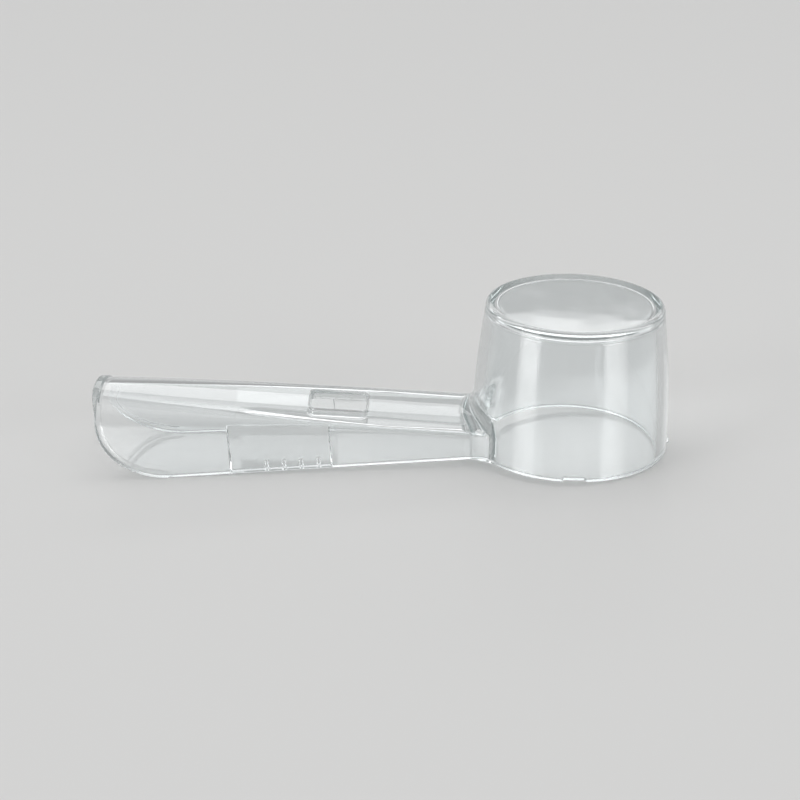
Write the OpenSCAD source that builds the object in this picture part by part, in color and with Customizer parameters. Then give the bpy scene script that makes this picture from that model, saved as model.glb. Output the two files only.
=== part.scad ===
// Clear push-fit cover for a round toothbrush head: a cup that takes the bristles and an
// open-bottomed channel that is pressed over the brush's neck.
// The object is one moulding. It is drawn here in the regions a mould maker would name,
// which meet face to face.

/* [Cup] */
// Outside diameter of the cup's mouth, at the rim
mouth_d = 21; // [19:0.5:24]
// Height of the cup from its rim to its flat top
cup_h = 16; // [14:0.1:19]
// Draft of the lower part of the cup's side, in degrees
cup_draft = 1.2; // [0.5:0.1:2]
// Height at which the side begins to taper more
taper_z = 8; // [7.5:0.1:9]
// Draft of the side above that height, in degrees
cup_taper = 7; // [4:0.1:8]
// Radius of the rounded shoulder
shoulder_r = 0.5; // [0.3:0.1:1]
// Height of the band that makes the rim
rim_h = 1.5; // [1.2:0.1:2]
// Width of the shallow nick in the rim's edge
nick_w = 2.3; // [1.5:0.1:3]
// Depth of the nick
nick_h = 0.2; // [0.1:0.05:0.3]

/* [Wall] */
// Wall thickness of the whole moulding
wall = 1.1; // [0.9:0.05:1.3]

/* [Channel] */
// Distance from the cup's axis to the channel's open end
reach = 50; // [46:0.5:56]
// Outside width of the channel where it leaves the cup
root_w = 10.5; // [9.5:0.1:11.5]
// Outside width of the channel at its open end
end_w = 12.8; // [12:0.1:14]
// Outside height of the channel where it leaves the cup
root_h = 3.8; // [3.4:0.1:4.6]
// Outside height of the channel at its open end
end_h = 8.6; // [8:0.1:10]
// Squareness of the section where it leaves the cup: 2 is an ellipse, more is boxier
root_square = 8.5; // [5:0.5:10]
// Squareness of the section at the open end
end_square = 3.2; // [2.6:0.1:4]
// How much lower the crown has come down at the side walls than along its middle
crown_drop = 0.3; // [0.1:0.05:0.4]
// Slope of the channel's lower edges below the plane of the cup's rim, in degrees
edge_slope = 4.4; // [3:0.1:5]
// Radius of the blend between the channel and the cup
blend_r = 2.1; // [1.5:0.1:2.4]

/* [Open end] */
// Length of the rounded lower corner
corner_l = 7.8; // [6:0.1:9]
// Height of the rounded lower corner
corner_h = 6.6; // [5:0.1:7]
// How far the open end leans out between its corner and its crown
end_lean = 0.5; // [0:0.1:1]
// Width of the bead that edges the open end
lip_w = 0.9; // [0.7:0.05:1.2]
// How far the bead stands out from the wall
lip_out = 0.15; // [0.1:0.01:0.25]

/* [Slot] */
// Length of the slot in the crown
slot_l = 6; // [4:0.1:7]
// Width of the slot across the crown
slot_w = 4.8; // [4:0.1:5.4]
// Radius of the slot's corners
slot_r = 0.6; // [0.4:0.1:1]
// Distance from the cup's axis to the middle of the slot
slot_at = 24.5; // [20:0.1:26]

/* [Grip pads] */
// Length of each grip pad
pad_l = 10.7; // [8:0.1:12]
// Distance from the cup's axis to the near end of the pads
pad_at = 25.4; // [23:0.1:27]
// Height at which a pad's slanting face would run out into an upright wall
pad_h = 10; // [6:0.5:14]
// Thickness of a pad at its lower edge
pad_t = 0.6; // [0.4:0.05:0.8]
// Number of small ribs on each pad
rib_count = 4; // [2:1:5]
// Distance between two ribs
rib_pitch = 1.85; // [1.5:0.05:2]
// Distance from the pad's near end to its first rib
rib_start = 1.2; // [0.8:0.1:1.6]
// Width of a rib
rib_w = 0.35; // [0.25:0.05:0.5]
// Height of a rib
rib_h = 0.9; // [0.6:0.1:1.4]
// How far a rib stands out from the foot of its pad
rib_out = 0.25; // [0.15:0.05:0.35]

/* [Gate] */
// Width of the gate's stub on the rim
gate_w = 1; // [0.6:0.1:1.4]
// Height of the stub
gate_h = 0.5; // [0.3:0.1:0.7]
// How far the stub stands out
gate_out = 0.2; // [0.1:0.05:0.3]

/* [Hidden] */
clear_tint = [0.86, 0.92, 0.95, 0.45];
// Overshoot of every cutting solid
over = 1;
$fn = 96;

cup_r = mouth_d / 2;
shoulder_z = cup_h - shoulder_r;
inner_corner_r = 0.4;
// The inside's section is never boxier than this
inner_square_max = 20;
// Distance from the cup's axis at which the channel's lower edges cross the rim's plane
pivot = cup_r - 0.5;
// Place along the channel at which its lower edges turn up into the rounded corner
corner_at = reach - corner_l;
// Height of the joint between the cup's wall and its top
top_z = min(shoulder_z, cup_h - wall - inner_corner_r) - 0.2;
// Steps of the shoulder, of the arched section, of the blend and of the channel's length
shoulder_steps = 8;
arch_steps = 48;
blend_steps = 8;
channel_steps = 6;
// Steps of the open end's rounded corner and of its line above
corner_steps = 20;
crown_steps = 6;

// The cover leans on the far side of its rim and on the ends of the channel's lower edges
drop = (corner_at - pivot) * sin(edge_slope);
lean_angle = atan(drop / (cup_r + pivot + (corner_at - pivot) * cos(edge_slope)));

// Point of the x-z plane given along and above the channel's lower edge, in the cup's frame
function from_channel(s, z) = [
    -pivot - (s - pivot) * cos(edge_slope) - z * sin(edge_slope),
    -(s - pivot) * sin(edge_slope) + z * cos(edge_slope)
];
// Turns a point of the cup's x-z plane about the rim's far side into the resting pose
function leaned(p) = [
    cup_r + (p[0] - cup_r) * cos(lean_angle) + p[1] * sin(lean_angle),
    -(p[0] - cup_r) * sin(lean_angle) + p[1] * cos(lean_angle)
];
far_x = leaned([cup_r + gate_out, 1.5 * gate_h])[0];
end_x = leaned(from_channel(reach + end_lean, end_h + lip_out))[0];
middle_x = (far_x + end_x) / 2;

// Outside radius of the cup at a height above its rim
function cup_radius(z) =
    cup_r - min(z, taper_z) * tan(cup_draft) - max(z - taper_z, 0) * tan(cup_taper);
// Half width and height of the channel's outside at a distance from the cup's axis
function half_width(s) = (root_w + (end_w - root_w) * (s - cup_r) / (reach - cup_r)) / 2;
function height(s) = root_h + (end_h - root_h) * (s - cup_r) / (reach - cup_r);
// Squareness of the outside's section there
function outer_square(s) = root_square + (end_square - root_square) * (s - cup_r) / (reach - cup_r);
// Squareness of the inside's section that keeps the wall as thick at the corners as elsewhere
function inner_square(s) =
    let (
        w = half_width(s),
        corner = pow(0.5, 1 / outer_square(s)),
        h = height(s) - crown_drop * corner * corner,
        slope = norm([1 / w, 1 / h]),
        across = (w * corner - wall / (w * slope)) / (w - wall),
        upwards = (h * corner - wall / (h * slope)) / (h - wall)
    )
        ln(0.5) / ln(min((across + upwards) / 2, pow(0.5, 1 / inner_square_max)));
// Distance along the channel at which a line at y, z meets the cup's outside
function cup_face(y, z) =
    pivot + (sqrt(pow(cup_radius(z), 2) - y * y) - pivot - z * sin(edge_slope)) / cos(edge_slope);

// Points of the section at a distance along the channel, from one foot over the crown to the
// other, moved outwards by a margin
function arch(s, out) =
    let (
        w = half_width(s) + out,
        h = height(s) + out,
        power = 2 / (out < 0 ? inner_square(s) : outer_square(s))
    )
        [
            for (i = [0 : arch_steps])
                let (
                    a = 180 * i / arch_steps,
                    y = w * sign(cos(a)) * pow(abs(cos(a)), power)
                )
                    [y, (h - crown_drop * pow(y / half_width(s), 2)) * pow(abs(sin(a)), power)]
        ];

// Ring that keeps a distance from the cup's outside
function ring_by_cup(distance, out) = [
    for (p = arch(cup_r + distance, out)) [cup_face(p[0], p[1]) + distance, p[0], p[1]]
];
// Flat ring across the channel
function ring_at(s, out) = [for (p = arch(s, out)) [s, p[0], p[1]]];
// The same ring with its feet lengthened downwards
function deep_ring_at(s, out) =
    let (w = half_width(s) + out)
        concat([[s, w, -over]], ring_at(s, out), [[s, -w, -over]]);
// Places of the rings from one distance along the channel to another
function stations(from, to) = [for (k = [0 : channel_steps]) from + (to - from) * k / channel_steps];

// Solid through rings with like numbers of points, each ring closed across its feet
module loft(rings) {
    n = len(rings[0]);
    last = len(rings) - 1;
    sides = [
        for (k = [0 : last - 1], i = [0 : n - 1], half = [0, 1])
            let (j = (i + 1) % n, a = k * n + i, b = k * n + j, c = a + n, d = b + n)
                half == 0 ? [a, c, b] : [b, c, d]
    ];
    pairs = floor((n - 1) / 2);
    caps = [
        for (k = [0, last], i = [0 : pairs - 1], half = [0, 1])
            let (a = k * n + i, b = a + 1, c = k * n + n - 1 - i, d = c - 1)
                let (face = half == 0 ? [a, b, c] : [b, d, c])
                    if (half == 0 || b != d) k == 0 ? face : [face[0], face[2], face[1]]
    ];
    polyhedron(points = [for (r = rings, p = r) p], faces = concat(sides, caps));
}

// Puts a solid drawn along the channel (x along, z above the lower edges) in the cup's frame
module along_channel() {
    translate([-pivot, 0, 0])
        rotate([0, -edge_slope, 0])
            mirror([1, 0, 0])
                translate([-pivot, 0, 0])
                    children();
}

// Turns the cup's frame into the resting pose, centred over the origin
module resting() {
    translate([cup_r - middle_x, 0, 0])
        rotate([0, lean_angle, 0])
            translate([-cup_r, 0, 0])
                children();
}

// Heights from one to another, with the one at which the side begins to taper more
function side_heights(low, high) =
    concat([low], low < taper_z && taper_z < high ? [taper_z] : [], [high]);

// Band of the cup's shell between two heights
module cup_band(low, high) {
    heights = side_heights(low, high);
    last = len(heights) - 1;
    rotate_extrude()
        polygon(concat(
            [for (z = heights) [cup_radius(z), z]],
            [for (k = [0 : last]) [cup_radius(heights[last - k]) - wall, heights[last - k]]]
        ));
}

// Everything inside the cup's outside, for trimming what joins it
module cup_core() {
    low = -2 * over;
    rotate_extrude()
        polygon(concat([[0, low]], [for (z = side_heights(low, cup_h)) [cup_radius(z), z]], [[0, cup_h]]));
}

// Outside of the channel with its blend into the cup, filled
module neck_outside() {
    blend = [
        for (k = [0 : blend_steps])
            let (a = 90 * k / blend_steps)
                ring_by_cup(blend_r * (1 - cos(a)), blend_r * (1 - sin(a)))
    ];
    first = cup_r + blend_r + 2 * over;
    loft(concat(
        [ring_by_cup(-wall / 2, blend_r)],
        blend,
        [for (s = stations(first, reach + 2 * over)) ring_at(s, 0)]
    ));
}

// Inside of the channel, from within the cup to past the open end
module neck_inside() {
    loft([for (s = stations(cup_r / 2, reach + 3 * over)) deep_ring_at(s, -wall)]);
}

// Side view of all that lies past the open end's outline moved in by a distance
module past_end(inset) {
    top = end_h + over;
    linear_extrude_y(end_w + 4 * over)
        polygon(concat(
            [[corner_at, -2 * over]],
            [
                for (k = [0 : corner_steps])
                    let (a = 90 * k / corner_steps)
                        [
                            corner_at + (corner_l - inset) * sin(a),
                            corner_h - (corner_h - inset) * cos(a)
                        ]
            ],
            [
                for (k = [1 : crown_steps])
                    let (z = corner_h + (top - corner_h) * k / crown_steps)
                        [reach - inset + end_lean * pow((z - corner_h) / (end_h - corner_h), 2), z]
            ],
            [[reach + 5 * over, top], [reach + 5 * over, -2 * over]]
        ));
}

// Extrudes a drawing of the x-z plane both ways along y
module linear_extrude_y(width) {
    rotate([90, 0, 0])
        translate([0, 0, -width / 2])
            linear_extrude(width)
                children();
}

// Zone round the cup that belongs to the blend
module blend_zone() {
    translate([0, 0, -2 * over])
        cylinder(r = cup_r + blend_r, h = cup_h);
}

// Rounded slot through the crown
module slot_cut() {
    translate([slot_at, 0, 0])
        linear_extrude(end_h + over)
            union() {
                square([slot_l - 2 * slot_r, slot_w], center = true);
                square([slot_l, slot_w - 2 * slot_r], center = true);
                for (x = [-1, 1], y = [-1, 1])
                    translate([x * (slot_l / 2 - slot_r), y * (slot_w / 2 - slot_r)])
                        circle(r = slot_r);
            }
}

// Half width of the channel's inside at its lower edges
function inner_half(s) = half_width(s) - wall;

// Wedge that is thick at the channel's lower edge and runs out into the wall above
module pad_wedge() {
    loft([
        for (s = [pad_at, pad_at + pad_l])
            let (foot = inner_half(s) - pad_t)
                [[s, foot + 2 * pad_t, 0], [s, foot + 2 * pad_t, 2 * pad_h], [s, foot, 0]]
    ]);
}

// Pad on one side, bounded outwards by the channel's inside
module grip_pad(side) {
    along_channel()
        intersection() {
            neck_inside();
            mirror([0, side < 0 ? 1 : 0, 0])
                pad_wedge();
        }
}

// Short upright ribs along the foot of a pad
module pad_ribs(side) {
    along_channel()
        difference() {
            for (i = [0 : rib_count - 1])
                let (
                    near = pad_at + rib_start + i * rib_pitch,
                    foot = inner_half(near) - pad_t - rib_out
                )
                    translate([near, side > 0 ? foot : -foot - rib_out - pad_t / 2, 0])
                        cube([rib_w, rib_out + pad_t / 2, rib_h]);
            mirror([0, side < 0 ? 1 : 0, 0])
                pad_wedge();
        }
}

module cup_top() {
    r = cup_radius(shoulder_z);
    inner_z = cup_h - wall - inner_corner_r;
    inner_r = cup_radius(inner_z) - wall;
    angles = [for (k = [0 : shoulder_steps]) 90 * k / shoulder_steps];
    color(clear_tint)
        resting()
            rotate_extrude()
                polygon(concat(
                    [for (a = angles) [r - shoulder_r * (1 - cos(a)), shoulder_z + shoulder_r * sin(a)]],
                    [[0, cup_h], [0, cup_h - wall]],
                    [
                        for (a = angles)
                            [inner_r - inner_corner_r * (1 - sin(a)), inner_z + inner_corner_r * cos(a)]
                    ],
                    [[cup_radius(top_z) - wall, top_z], [cup_radius(top_z), top_z]]
                ));
}

module cup_wall() {
    color(clear_tint)
        resting()
            difference() {
                cup_band(rim_h, top_z);
                along_channel()
                    neck_inside();
            }
}

module cup_rim() {
    color(clear_tint)
        resting()
            difference() {
                cup_band(0, rim_h);
                along_channel()
                    neck_inside();
                translate([-nick_w / 2, -cup_r - over, -over])
                    cube([nick_w, wall + 2 * over, nick_h + over]);
            }
}

module gate_stub() {
    color(clear_tint)
        resting()
            difference() {
                translate([cup_r - wall / 2, -gate_w / 2, gate_h / 2])
                    cube([wall / 2 + gate_out, gate_w, gate_h]);
                cup_core();
            }
}

module neck_blend() {
    color(clear_tint)
        resting()
            difference() {
                intersection() {
                    along_channel()
                        neck_outside();
                    blend_zone();
                }
                along_channel()
                    neck_inside();
                cup_core();
            }
}

module channel() {
    color(clear_tint)
        resting()
            difference() {
                along_channel()
                    difference() {
                        neck_outside();
                        neck_inside();
                        past_end(lip_w);
                        slot_cut();
                    }
                blend_zone();
            }
}

module end_lip() {
    color(clear_tint)
        resting()
            along_channel()
                difference() {
                    intersection() {
                        loft([for (s = stations(corner_at - over, reach + 2 * over)) ring_at(s, lip_out)]);
                        past_end(lip_w);
                    }
                    neck_inside();
                    past_end(0);
                }
}

module left_grip_pad() {
    color(clear_tint)
        resting()
            grip_pad(1);
}

module right_grip_pad() {
    color(clear_tint)
        resting()
            grip_pad(-1);
}

module left_pad_ribs() {
    color(clear_tint)
        resting()
            pad_ribs(1);
}

module right_pad_ribs() {
    color(clear_tint)
        resting()
            pad_ribs(-1);
}

cup_top();
cup_wall();
cup_rim();
gate_stub();
neck_blend();
channel();
end_lip();
left_grip_pad();
right_grip_pad();
left_pad_ribs();
right_pad_ribs();
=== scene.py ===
"""Clear toothbrush cover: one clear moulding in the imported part's frame, with floor, lights and camera."""

import math

import bpy
import numpy as np
from mathutils import Matrix, Vector


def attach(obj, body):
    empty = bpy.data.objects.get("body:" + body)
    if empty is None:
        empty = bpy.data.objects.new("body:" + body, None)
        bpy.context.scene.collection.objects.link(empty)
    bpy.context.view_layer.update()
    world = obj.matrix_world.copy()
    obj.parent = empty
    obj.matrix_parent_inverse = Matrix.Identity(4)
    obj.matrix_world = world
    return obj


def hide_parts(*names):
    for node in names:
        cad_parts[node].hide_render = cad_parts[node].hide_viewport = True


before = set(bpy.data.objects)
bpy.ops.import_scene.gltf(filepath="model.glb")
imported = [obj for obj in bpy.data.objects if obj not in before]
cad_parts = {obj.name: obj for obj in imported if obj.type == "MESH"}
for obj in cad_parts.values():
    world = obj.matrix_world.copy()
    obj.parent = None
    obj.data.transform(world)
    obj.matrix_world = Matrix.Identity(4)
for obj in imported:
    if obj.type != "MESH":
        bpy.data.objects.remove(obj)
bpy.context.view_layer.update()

MM = 0.001

# Sizes of the moulding in millimetres, as in the part's source

MOUTH_R = 10.5
CUP_H = 16.0
DRAFT = math.radians(1.2)
TAPER_Z = 8.0
TAPER = math.radians(7)
SHOULDER_R = 0.5
WALL = 1.1
NICK_HALF = 1.15
NICK_H = 0.2
REACH = 50.0
ROOT_HALF = 5.25
END_HALF = 6.4
ROOT_H = 3.8
END_H = 8.6
ROOT_SQUARE = 8.5
END_SQUARE = 3.2
INNER_SQUARE_MAX = 20
CROWN_DROP = 0.3
EDGE_SLOPE = math.radians(4.4)
SLOPE_START = 0.5
BLEND_R = 2.1
CORNER_L = 7.8
CORNER_H = 6.6
END_LEAN = 0.5
LIP_W = 0.9
LIP_OUT = 0.15
SLOT_HALF = (3.0, 2.4)
SLOT_R = 0.6
SLOT_AT = 24.5
PAD_L = 10.7
PAD_AT = 25.4
PAD_H = 10.0
PAD_T = 0.6
RIB_COUNT = 4
RIB_PITCH = 1.85
RIB_START = 1.2
RIB_W = 0.35
RIB_H = 0.9
RIB_OUT = 0.25
GATE_HALF = 0.5
GATE_LOW = 0.25
GATE_HIGH = 0.75
GATE_OUT = 0.2

# Sizes that only the dressed moulding has: rounded edges, fillets and soft changes of form

EDGE_R = 0.2
TAPER_BLEND = 0.35
INNER_CORNER_R = 0.5
INNER_BLEND_R = 0.5
LIP_RISE = 0.25
LIP_FADE = 1.5
NICK_RISE = 0.2
PAD_EDGE_R = 0.08
PAD_FILLET_R = 0.12
PAD_BURIED = 0.2
RIB_EDGE_R = 0.1
TRIM_R = 0.06

# How far the formula of each form reaches, past what can be seen of the form

SLOT_ABOVE = 1.5
NECK_FROM = 3
SIZES_FROM = 4
SIZES_PAST_END = 3
NICK_REACH = 3
CORNER_REACH = 5

# Where the lower edges start to slope, where the end's corner starts, and the lean that they give at rest

PIVOT = MOUTH_R - SLOPE_START
CORNER_AT = REACH - CORNER_L
DROP = (CORNER_AT - PIVOT) * math.sin(EDGE_SLOPE)
LEAN = math.atan(DROP / (MOUTH_R + PIVOT + (CORNER_AT - PIVOT) * math.cos(EDGE_SLOPE)))


def leaned(x, z):
    """A point of the cup's x-z plane turned about the rim's far side into the resting pose."""
    return (
        MOUTH_R + (x - MOUTH_R) * math.cos(LEAN) + z * math.sin(LEAN),
        (MOUTH_R - x) * math.sin(LEAN) + z * math.cos(LEAN),
    )


def from_channel(s, z):
    """A point given along and above the channel's lower edge, in the cup's x-z plane."""
    return (
        -PIVOT - (s - PIVOT) * math.cos(EDGE_SLOPE) - z * math.sin(EDGE_SLOPE),
        -(s - PIVOT) * math.sin(EDGE_SLOPE) + z * math.cos(EDGE_SLOPE),
    )


# Ends of the moulding at rest, and their middle, which is the frame's origin

FAR_X = leaned(MOUTH_R + GATE_OUT, GATE_HIGH)[0]
END_X = leaned(*from_channel(REACH + END_LEAN, END_H + LIP_OUT))[0]
MIDDLE_X = (FAR_X + END_X) / 2

# Mesh grid: its extent, its coarse step, and bands (low, high, finer step) where small forms lie

GRID_X = (-51.9, 11.2)
GRID_HALF_Y = 11.2
GRID_Z = (-0.3, 17.2)
COARSE = 0.2
END_BAND = (-51.6, -50.0, 0.12)
RIBS_BAND = (-PIVOT - 23.6, -PIVOT - 16.2, 0.1)
SLOT_ENDS = (-SLOT_AT - SLOT_HALF[0], -SLOT_AT + SLOT_HALF[0])
SLOT_END_BANDS = [(place - 0.5, place + 0.5, 0.12) for place in SLOT_ENDS]
STUB_BAND = (MOUTH_R - 0.2, MOUTH_R + GATE_OUT + 0.1, 0.07)
STUB_SIDE_BAND = (0, 0.7, 0.1)
SLOT_SIDE_BAND = (2.1, 2.6, 0.12)
PAD_FACE_BAND = (3.3, 4.6, 0.12)
LOWER_EDGE_BAND = (-0.3, 0.9, 0.08)
CROWN_BAND = (8.0, 9.2, 0.12)
CUP_TOP_BAND = (14.4, 16.3, 0.12)

# The channel's part of the grid, which is narrower and lower than the cup's

CHANNEL_TO_X = -15.0
CHANNEL_HALF_Y = 7.6
CHANNEL_TO_Z = 10.2

# Probe of the distance's slope, and the steps that settle the mesh on its zero surface

PROBE = 0.01
LEAST_SQUARE = 0.2
LONGEST_STEP = 0.1
SETTLE_STEPS = 3
EVENING_STEPS = 5


# The moulding as one signed distance, negative in the plastic

def round_max(radius, *parts):
    """Intersection of solids, with the edges between them rounded."""
    most = parts[0]
    squares = np.square(np.maximum(parts[0] + radius, 0))
    for part in parts[1:]:
        most = np.maximum(most, part)
        squares = squares + np.square(np.maximum(part + radius, 0))
    return np.minimum(most, -radius) + np.sqrt(squares)


def round_min(radius, *parts):
    """Union of solids, with the corners between them filleted."""
    return -round_max(radius, *[-part for part in parts])


def smooth(t):
    """Rise from 0 to 1 that starts and ends level."""
    t = np.clip(t, 0, 1)
    return t * t * (3 - 2 * t)


def cup(rho, z, inset, corner_r):
    """Round cup with a rounded shoulder, its side tapered more above TAPER_Z, moved in by inset."""
    waist_r = MOUTH_R - TAPER_Z * math.tan(DRAFT)
    lower = (rho - MOUTH_R + z * math.tan(DRAFT) + inset) * math.cos(DRAFT)
    upper = (rho - waist_r + (z - TAPER_Z) * math.tan(TAPER) + inset) * math.cos(TAPER)
    return round_max(corner_r, round_max(TAPER_BLEND, lower, upper), z - CUP_H + inset)


def along(s, root, end):
    """A size that changes evenly from the channel's root to its end."""
    place = np.clip(s, SIZES_FROM, REACH + SIZES_PAST_END)
    return root + (end - root) * (place - MOUTH_R) / (REACH - MOUTH_R)


def arch(s, y, z, inset):
    """Channel's arched section, moved in by a wall that is as thick at the corners as elsewhere."""
    w = along(s, ROOT_HALF, END_HALF)
    h = along(s, ROOT_H, END_H)
    n = along(s, ROOT_SQUARE, END_SQUARE)
    drop = CROWN_DROP * np.minimum(np.square(y / w), 2)
    fall = CROWN_DROP * 2 * np.abs(y) / np.square(w)
    if inset:
        corner = 0.5 ** (1 / n)
        corner_h = h - CROWN_DROP * corner * corner
        slope = np.hypot(1 / w, 1 / corner_h)
        across = (w * corner - inset / (w * slope)) / (w - inset)
        upwards = (corner_h * corner - inset / (corner_h * slope)) / (corner_h - inset)
        n = math.log(0.5) / np.log(np.minimum((across + upwards) / 2, 0.5 ** (1 / INNER_SQUARE_MAX)))
    w = w - inset
    top = h - inset - drop
    u = np.abs(y) / w
    v = np.maximum(z, 0) / top
    q = np.maximum(u**n + v**n, 1e-9) ** (1 / n)
    upwards = (v / q) ** (n - 1) / top
    slope = np.hypot((u / q) ** (n - 1) / w + upwards * v * fall, upwards)
    return (q - 1) / np.maximum(slope, 1e-3)


def open_end(s, z):
    """Side view of the open end: the rounded lower corner and the leaning line above it."""
    lean = END_LEAN * np.square(np.maximum(z - CORNER_H, 0) / (END_H - CORNER_H))
    u = np.maximum(s - lean - CORNER_AT, 0) / CORNER_L
    v = np.maximum(CORNER_H - z, 0) / CORNER_H
    q = np.maximum(np.sqrt(u * u + v * v), 1e-6)
    slope = np.sqrt((u / CORNER_L) ** 2 + (v / CORNER_H) ** 2) / q
    return (q - 1) / np.maximum(slope, 1e-3)


def channel_place(x, z):
    """Lengths along and above the channel's lower edge."""
    away = -PIVOT - x
    return (
        PIVOT + away * math.cos(EDGE_SLOPE) - z * math.sin(EDGE_SLOPE),
        away * math.sin(EDGE_SLOPE) + z * math.cos(EDGE_SLOPE),
    )


def slot(s, y):
    """Distance from the slot's upright faces, negative in the slot."""
    beside = np.abs(s - SLOT_AT) - SLOT_HALF[0] + SLOT_R
    across = np.abs(y) - SLOT_HALF[1] + SLOT_R
    corner = np.hypot(np.maximum(beside, 0), np.maximum(across, 0))
    return corner + np.minimum(np.maximum(beside, across), 0) - SLOT_R


def beyond(x, y, z):
    """Distance past the rim with its nick, the channel's lower edges and its open end."""
    s, up = channel_place(x, z)
    near_rim = np.abs(np.hypot(x, y) - MOUTH_R) < NICK_REACH
    nick = NICK_H * smooth((NICK_HALF + NICK_RISE / 2 - np.abs(x)) / NICK_RISE) * (y < 0) * near_rim
    below = np.minimum(nick - z, -up)
    return np.maximum(below, np.where(s > CORNER_AT - CORNER_REACH, open_end(s, up), -1))


def plastic(x, y, z):
    """Signed distance of the whole moulding in the cup's frame, in millimetres."""
    rho = np.hypot(x, y)
    s, up = channel_place(x, z)
    lip = LIP_OUT * smooth((open_end(s, up) + LIP_W) / LIP_RISE) * smooth((s - CORNER_AT) / LIP_FADE)

    neck = np.maximum(arch(s, y, up, 0) - lip, NECK_FROM - s)
    outside = round_min(BLEND_R, cup(rho, z, 0, SHOULDER_R), neck)
    neck_void = np.maximum(arch(s, y, up, WALL), MOUTH_R / 2 - s)
    inside = round_min(INNER_BLEND_R, cup(rho, z, WALL, INNER_CORNER_R), neck_void)

    walls = round_max(EDGE_R, outside, -inside, np.minimum(-slot(s, y), up - SLOT_ABOVE))

    foot = along(s, ROOT_HALF, END_HALF) - WALL - PAD_T
    face = foot + up * PAD_T / PAD_H - np.abs(y)
    pads = round_max(PAD_EDGE_R, face, PAD_AT - s, s - PAD_AT - PAD_L, outside + PAD_BURIED)
    walls = round_min(PAD_FILLET_R, walls, pads)
    first = PAD_AT + RIB_START + RIB_W / 2
    nearest = np.clip(np.round((s - first) / RIB_PITCH), 0, RIB_COUNT - 1)
    beside_rib = np.abs(s - first - nearest * RIB_PITCH) - RIB_W / 2
    rib_face = foot - RIB_OUT - np.abs(y)
    rib_back = np.abs(y) - foot - PAD_T
    ribs = round_max(RIB_EDGE_R, beside_rib, up - RIB_H, rib_face, rib_back)
    walls = round_min(TRIM_R, walls, ribs)
    stub = round_max(
        TRIM_R,
        x - MOUTH_R - GATE_OUT,
        MOUTH_R - WALL / 2 - x,
        np.abs(y) - GATE_HALF,
        GATE_LOW - z,
        z - GATE_HIGH,
    )
    walls = round_min(TRIM_R, walls, stub)

    return round_max(EDGE_R, walls, beyond(x, y, z))


def gradient(p):
    """Steepest rise of the distance at points p."""
    out = np.empty_like(p)
    for axis in range(3):
        ahead, behind = p.copy(), p.copy()
        ahead[:, axis] += PROBE
        behind[:, axis] -= PROBE
        out[:, axis] = (plastic(*ahead.T) - plastic(*behind.T)) / (2 * PROBE)
    return out


# The distance's zero surface as a mesh of quads

def planes(start, stop, coarse, *bands):
    """Places of the grid's planes: coarse steps, with finer steps inside the bands (low, high, step)."""
    nudge = 1e-6
    places = [start]
    while places[-1] < stop:
        here = places[-1] + nudge
        step = coarse
        for low, high, fine in bands:
            if low <= here < high:
                step = min(step, fine)
            elif here < low < here + step:
                step = low - here + nudge
        places.append(places[-1] + step)
    return np.array(places)


def bottom(x):
    """Height of the rim and of the channel's lower edges."""
    return -np.maximum(-PIVOT - x, 0) * math.tan(EDGE_SLOPE)


def surface(xs, ys, zs, values):
    """Surface nets on a grid whose z planes follow the bottom: points in the cup's frame and quads."""
    grids = (xs, ys, zs)
    cells = np.array(values.shape) - 1
    strides = np.array([cells[1] * cells[2], cells[2], 1])
    rings, places = [], []
    for axis in range(3):
        around = np.zeros((4, 3), np.int64)
        around[:, (axis + 1) % 3] = (0, -1, -1, 0)
        around[:, (axis + 2) % 3] = (0, 0, -1, -1)
        here = np.argwhere(np.diff(values < 0, axis=axis))
        ahead = here.copy()
        ahead[:, axis] += 1
        start, stop = values[tuple(here.T)], values[tuple(ahead.T)]
        place = np.stack([grids[a][here[:, a]] for a in range(3)], 1)
        place[:, axis] += (grids[axis][ahead[:, axis]] - place[:, axis]) * start / (start - stop)
        ring = (here[:, None, :] + around) @ strides
        ring[start > stop] = ring[start > stop][:, ::-1]
        rings.append(ring)
        places.append(np.repeat(place, 4, 0))
    faces = np.unique(np.concatenate(rings), return_inverse=True)[1].reshape(-1)
    places = np.concatenate(places)
    total = np.bincount(faces)
    points = np.stack([np.bincount(faces, places[:, a]) / total for a in range(3)], 1)
    points[:, 2] += bottom(points[:, 0])
    return points, faces.reshape(-1, 4)


def unit(vectors):
    """The same directions at length 1."""
    return vectors / np.maximum(np.linalg.norm(vectors, axis=1, keepdims=True), 1e-9)


def onto_surface(points):
    """One step of the points along the distance's slope to its zero surface."""
    rise = gradient(points)
    square = np.maximum(np.sum(rise * rise, 1), LEAST_SQUARE)
    return points + np.clip(-(plastic(*points.T) / square)[:, None] * rise, -LONGEST_STEP, LONGEST_STEP)


def evened(points, faces):
    """Points moved along the surface half way towards the middle of their neighbours."""
    sums = np.zeros_like(points)
    for side in (1, 3):
        beside = points[np.roll(faces, side, axis=1).reshape(-1)]
        for axis in range(3):
            sums[:, axis] += np.bincount(faces.reshape(-1), beside[:, axis], len(points))
    move = sums / (2 * np.bincount(faces.reshape(-1), minlength=len(points)))[:, None] - points
    normals = unit(gradient(points))
    return points + 0.5 * (move - np.sum(move * normals, 1)[:, None] * normals)


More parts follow.
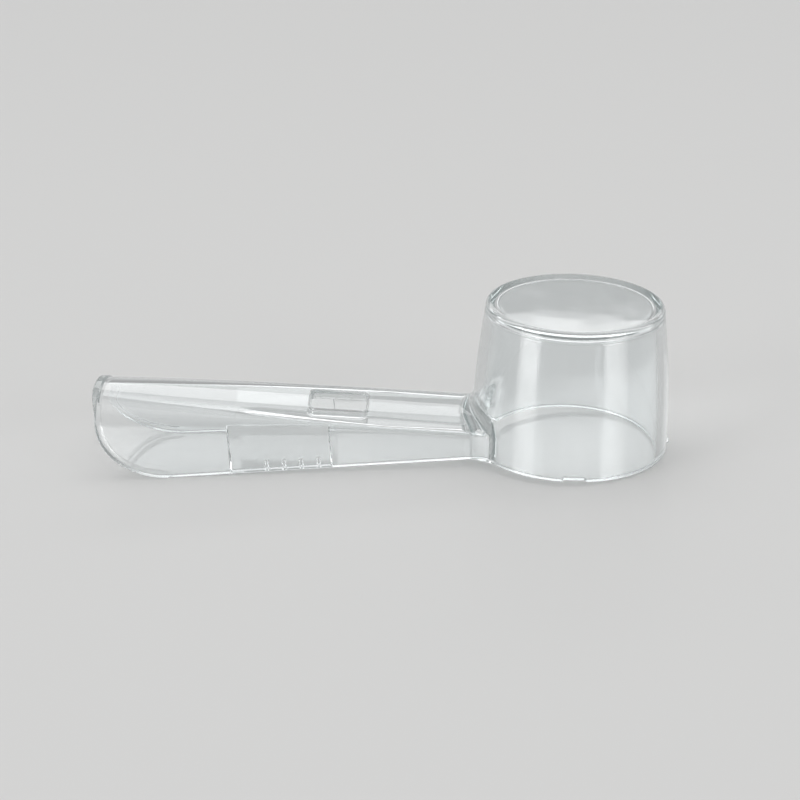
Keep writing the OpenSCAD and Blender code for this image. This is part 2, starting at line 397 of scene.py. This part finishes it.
def moulding_mesh():
    """Mesh of the moulding in the resting pose, in metres, with exact normals."""
    xs = planes(*GRID_X, COARSE, END_BAND, RIBS_BAND, *SLOT_END_BANDS, STUB_BAND)
    half = planes(0, GRID_HALF_Y, COARSE, STUB_SIDE_BAND, SLOT_SIDE_BAND, PAD_FACE_BAND)
    ys = np.concatenate([-half[:0:-1], half])
    zs = planes(*GRID_Z, COARSE, LOWER_EDGE_BAND, CROWN_BAND, CUP_TOP_BAND)
    values = np.full((len(xs), len(ys), len(zs)), 1.0)
    split = np.searchsorted(xs, CHANNEL_TO_X)
    near = np.abs(ys) < CHANNEL_HALF_Y
    low = zs < CHANNEL_TO_Z
    for part_x, part_y, part_z in (
        (np.arange(split, len(xs)), np.arange(len(ys)), np.arange(len(zs))),
        (np.arange(split), np.flatnonzero(near), np.flatnonzero(low)),
    ):
        x = xs[part_x][:, None, None]
        y = ys[part_y][None, :, None]
        z = zs[part_z][None, None, :] + bottom(x)
        block = plastic(*np.broadcast_arrays(x, y, z))
        values[np.ix_(part_x, part_y, part_z)] = block
    points, faces = surface(xs, ys, zs, values)
    for _ in range(SETTLE_STEPS):
        points = onto_surface(points)
    for _ in range(EVENING_STEPS):
        points = onto_surface(evened(points, faces))
    points = onto_surface(points)
    normals = unit(gradient(points))

    turn = np.array(Matrix.Rotation(LEAN, 3, "Y"))
    origin = np.array([MOUTH_R, 0, 0])
    points = (points - origin) @ turn.T + origin - np.array([MIDDLE_X, 0, 0])
    normals = normals @ turn.T
    mesh = bpy.data.meshes.new("moulding")
    mesh.from_pydata((points * MM).tolist(), [], faces.tolist())
    mesh.update()
    mesh.shade_smooth()
    mesh.normals_split_custom_set_from_vertices(normals.tolist())
    return mesh


# Materials

MOST_MIRRORINGS = 2.5


def new_material(name):
    """Empty node material: the material, its nodes and its links."""
    material = bpy.data.materials.new(name)
    material.use_nodes = True
    nodes = material.node_tree.nodes
    nodes.clear()
    return material, nodes, material.node_tree.links


def clear_plastic():
    """Polished clear plastic with a slight unevenness of its surface and light handling marks.

    Light that the walls have mirrored three times inside leaves them, so that no edge turns black.
    """
    material, nodes, links = new_material("clear_plastic")
    output = nodes.new("ShaderNodeOutputMaterial")
    shader = nodes.new("ShaderNodeBsdfPrincipled")
    shader.inputs["Base Color"].default_value = (0.97, 0.985, 0.99, 1)
    shader.inputs["Transmission Weight"].default_value = 1.0
    shader.inputs["IOR"].default_value = 1.57
    place = nodes.new("ShaderNodeTexCoord")

    marks = nodes.new("ShaderNodeTexNoise")
    marks.inputs["Scale"].default_value = 220.0
    marks.inputs["Detail"].default_value = 5.0
    links.new(place.outputs["Object"], marks.inputs["Vector"])
    rough = nodes.new("ShaderNodeMapRange")
    rough.inputs["From Min"].default_value = 0.45
    rough.inputs["From Max"].default_value = 0.8
    rough.inputs["To Min"].default_value = 0.012
    rough.inputs["To Max"].default_value = 0.07
    links.new(marks.outputs["Fac"], rough.inputs["Value"])
    links.new(rough.outputs["Result"], shader.inputs["Roughness"])

    flow = nodes.new("ShaderNodeTexNoise")
    flow.inputs["Scale"].default_value = 130.0
    flow.inputs["Detail"].default_value = 1.0
    links.new(place.outputs["Object"], flow.inputs["Vector"])
    bump = nodes.new("ShaderNodeBump")
    bump.inputs["Strength"].default_value = 0.25
    bump.inputs["Distance"].default_value = 0.00005
    links.new(flow.outputs["Fac"], bump.inputs["Height"])
    links.new(bump.outputs["Normal"], shader.inputs["Normal"])

    facing = nodes.new("ShaderNodeLayerWeight")
    facing.inputs["Blend"].default_value = 0.35
    shade = nodes.new("ShaderNodeMapRange")
    shade.inputs["To Min"].default_value = 0.95
    shade.inputs["To Max"].default_value = 0.35
    links.new(facing.outputs["Facing"], shade.inputs["Value"])
    see_through = nodes.new("ShaderNodeBsdfTransparent")
    links.new(shade.outputs["Result"], see_through.inputs["Color"])
    path = nodes.new("ShaderNodeLightPath")
    way_out = nodes.new("ShaderNodeBsdfTransparent")
    trapped = nodes.new("ShaderNodeMath")
    trapped.operation = "GREATER_THAN"
    trapped.inputs[1].default_value = MOST_MIRRORINGS
    links.new(path.outputs["Glossy Depth"], trapped.inputs[0])
    released = nodes.new("ShaderNodeMixShader")
    links.new(trapped.outputs["Value"], released.inputs["Fac"])
    links.new(shader.outputs["BSDF"], released.inputs[1])
    links.new(way_out.outputs["BSDF"], released.inputs[2])
    mix = nodes.new("ShaderNodeMixShader")
    links.new(path.outputs["Is Shadow Ray"], mix.inputs["Fac"])
    links.new(released.outputs["Shader"], mix.inputs[1])
    links.new(see_through.outputs["BSDF"], mix.inputs[2])
    links.new(mix.outputs["Shader"], output.inputs["Surface"])
    body = nodes.new("ShaderNodeVolumeAbsorption")
    body.inputs["Color"].default_value = (0.6, 0.66, 0.66, 1)
    body.inputs["Density"].default_value = 80.0
    links.new(body.outputs["Volume"], output.inputs["Volume"])
    return material


def floor_material():
    """Plain pale table top, which is polished where the object's walls mirror it."""
    material, nodes, links = new_material("pale_table")
    output = nodes.new("ShaderNodeOutputMaterial")
    seen = nodes.new("ShaderNodeBsdfPrincipled")
    seen.inputs["Base Color"].default_value = (0.64, 0.64, 0.635, 1)
    seen.inputs["Roughness"].default_value = 0.45
    seen.inputs["Specular IOR Level"].default_value = 0.2
    mirrored = nodes.new("ShaderNodeBsdfPrincipled")
    mirrored.inputs["Base Color"].default_value = (0.66, 0.66, 0.655, 1)
    mirrored.inputs["Roughness"].default_value = 0.07
    mirrored.inputs["Specular IOR Level"].default_value = 0.9
    place = nodes.new("ShaderNodeTexCoord")
    grain = nodes.new("ShaderNodeTexNoise")
    grain.inputs["Scale"].default_value = 900.0
    links.new(place.outputs["Object"], grain.inputs["Vector"])
    bump = nodes.new("ShaderNodeBump")
    bump.inputs["Strength"].default_value = 0.05
    bump.inputs["Distance"].default_value = 0.00002
    links.new(grain.outputs["Fac"], bump.inputs["Height"])
    links.new(bump.outputs["Normal"], seen.inputs["Normal"])
    path = nodes.new("ShaderNodeLightPath")
    mix = nodes.new("ShaderNodeMixShader")
    links.new(path.outputs["Is Glossy Ray"], mix.inputs["Fac"])
    links.new(seen.outputs["BSDF"], mix.inputs[1])
    links.new(mirrored.outputs["BSDF"], mix.inputs[2])
    links.new(mix.outputs["Shader"], output.inputs["Surface"])
    return material


# The moulding stands for every region of the part

cover = bpy.data.objects.new("cover", moulding_mesh())
bpy.context.scene.collection.objects.link(cover)
cover.data.materials.append(clear_plastic())
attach(cover, "root")
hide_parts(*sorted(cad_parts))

# Floor, light and camera

FLOOR_HALF = 4.0
CORNERS = ((-1, -1), (1, -1), (1, 1), (-1, 1))
floor_mesh = bpy.data.meshes.new("floor")
floor_mesh.from_pydata([(x * FLOOR_HALF, y * FLOOR_HALF, 0) for x, y in CORNERS], [], [(0, 1, 2, 3)])
floor = bpy.data.objects.new("floor", floor_mesh)
bpy.context.scene.collection.objects.link(floor)
floor.data.materials.append(floor_material())


def softbox(name, place, target, width, height, watts):
    """Rectangular lamp at place that faces target and isn't itself in the picture."""
    lamp = bpy.data.lights.new(name, "AREA")
    lamp.shape = "RECTANGLE"
    lamp.size = width
    lamp.size_y = height
    lamp.energy = watts
    holder = bpy.data.objects.new(name, lamp)
    holder.location = place
    holder.rotation_euler = (Vector(target) - Vector(place)).to_track_quat("-Z", "Y").to_euler()
    holder.visible_camera = False
    bpy.context.scene.collection.objects.link(holder)


AIM = (0.0, 0.0, 0.008)
softbox("top_softbox", (0.02, 0.05, 0.6), AIM, 0.5, 0.45, 0.45)
softbox("back_softbox", (-0.04, 0.47, 0.236), AIM, 0.75, 0.075, 0.22)
softbox("left_softbox", (-1.08, -0.66, 0.375), AIM, 0.6, 0.66, 6.0)
softbox("right_softbox", (1.02, -0.84, 0.375), AIM, 0.66, 0.66, 6.0)


def studio_world():
    """Plain studio, pale at the horizon and overhead. It is duller between, which draws clear edges."""
    world = bpy.data.worlds.new("studio")
    world.use_nodes = True
    nodes, links = world.node_tree.nodes, world.node_tree.links
    nodes.clear()
    output = nodes.new("ShaderNodeOutputWorld")
    background = nodes.new("ShaderNodeBackground")
    place = nodes.new("ShaderNodeTexCoord")
    parts = nodes.new("ShaderNodeSeparateXYZ")
    ramp = nodes.new("ShaderNodeValToRGB")
    stops = ((0.0, 0.64), (0.06, 0.62), (0.25, 0.4), (0.5, 0.42), (0.85, 0.95))
    while len(ramp.color_ramp.elements) < len(stops):
        ramp.color_ramp.elements.new(1.0)
    for element, (height, level) in zip(ramp.color_ramp.elements, stops):
        element.position = height
        element.color = (level, level, level, 1)
    links.new(place.outputs["Generated"], parts.inputs["Vector"])
    links.new(parts.outputs["Z"], ramp.inputs["Fac"])
    links.new(ramp.outputs["Color"], background.inputs["Color"])
    links.new(background.outputs["Background"], output.inputs["Surface"])
    bpy.context.scene.world = world


studio_world()

# Camera at the photograph's angle, found by fitting the part to the photograph

CAMERA_TARGET = Vector((1.92, 1.19, 5.25)) * MM
CAMERA_DISTANCE = 203.56 * MM
CAMERA_ELEVATION = math.radians(23.06)
CAMERA_AZIMUTH = math.radians(-2.23)
CAMERA_ROLL = math.radians(-2.19)
FOCAL_PIXELS = 1883
PICTURE_PIXELS = 800

forward = Vector((
    math.sin(CAMERA_AZIMUTH) * math.cos(CAMERA_ELEVATION),
    math.cos(CAMERA_AZIMUTH) * math.cos(CAMERA_ELEVATION),
    -math.sin(CAMERA_ELEVATION),
))
level = Vector((math.cos(CAMERA_AZIMUTH), -math.sin(CAMERA_AZIMUTH), 0))
upright = level.cross(forward)
right = level * math.cos(CAMERA_ROLL) + upright * math.sin(CAMERA_ROLL)
up = upright * math.cos(CAMERA_ROLL) - level * math.sin(CAMERA_ROLL)
lens = bpy.data.cameras.new("camera")
lens.sensor_width = 36
lens.lens = lens.sensor_width * (FOCAL_PIXELS / PICTURE_PIXELS)
lens.clip_start = 0.01
lens.clip_end = 10
camera = bpy.data.objects.new("camera", lens)
camera.matrix_world = Matrix.Translation(CAMERA_TARGET - forward * CAMERA_DISTANCE) @ Matrix(
    (right, up, -forward)
).transposed().to_4x4()
bpy.context.scene.collection.objects.link(camera)
bpy.context.scene.camera = camera
bpy.context.scene.view_settings.view_transform = "Standard"
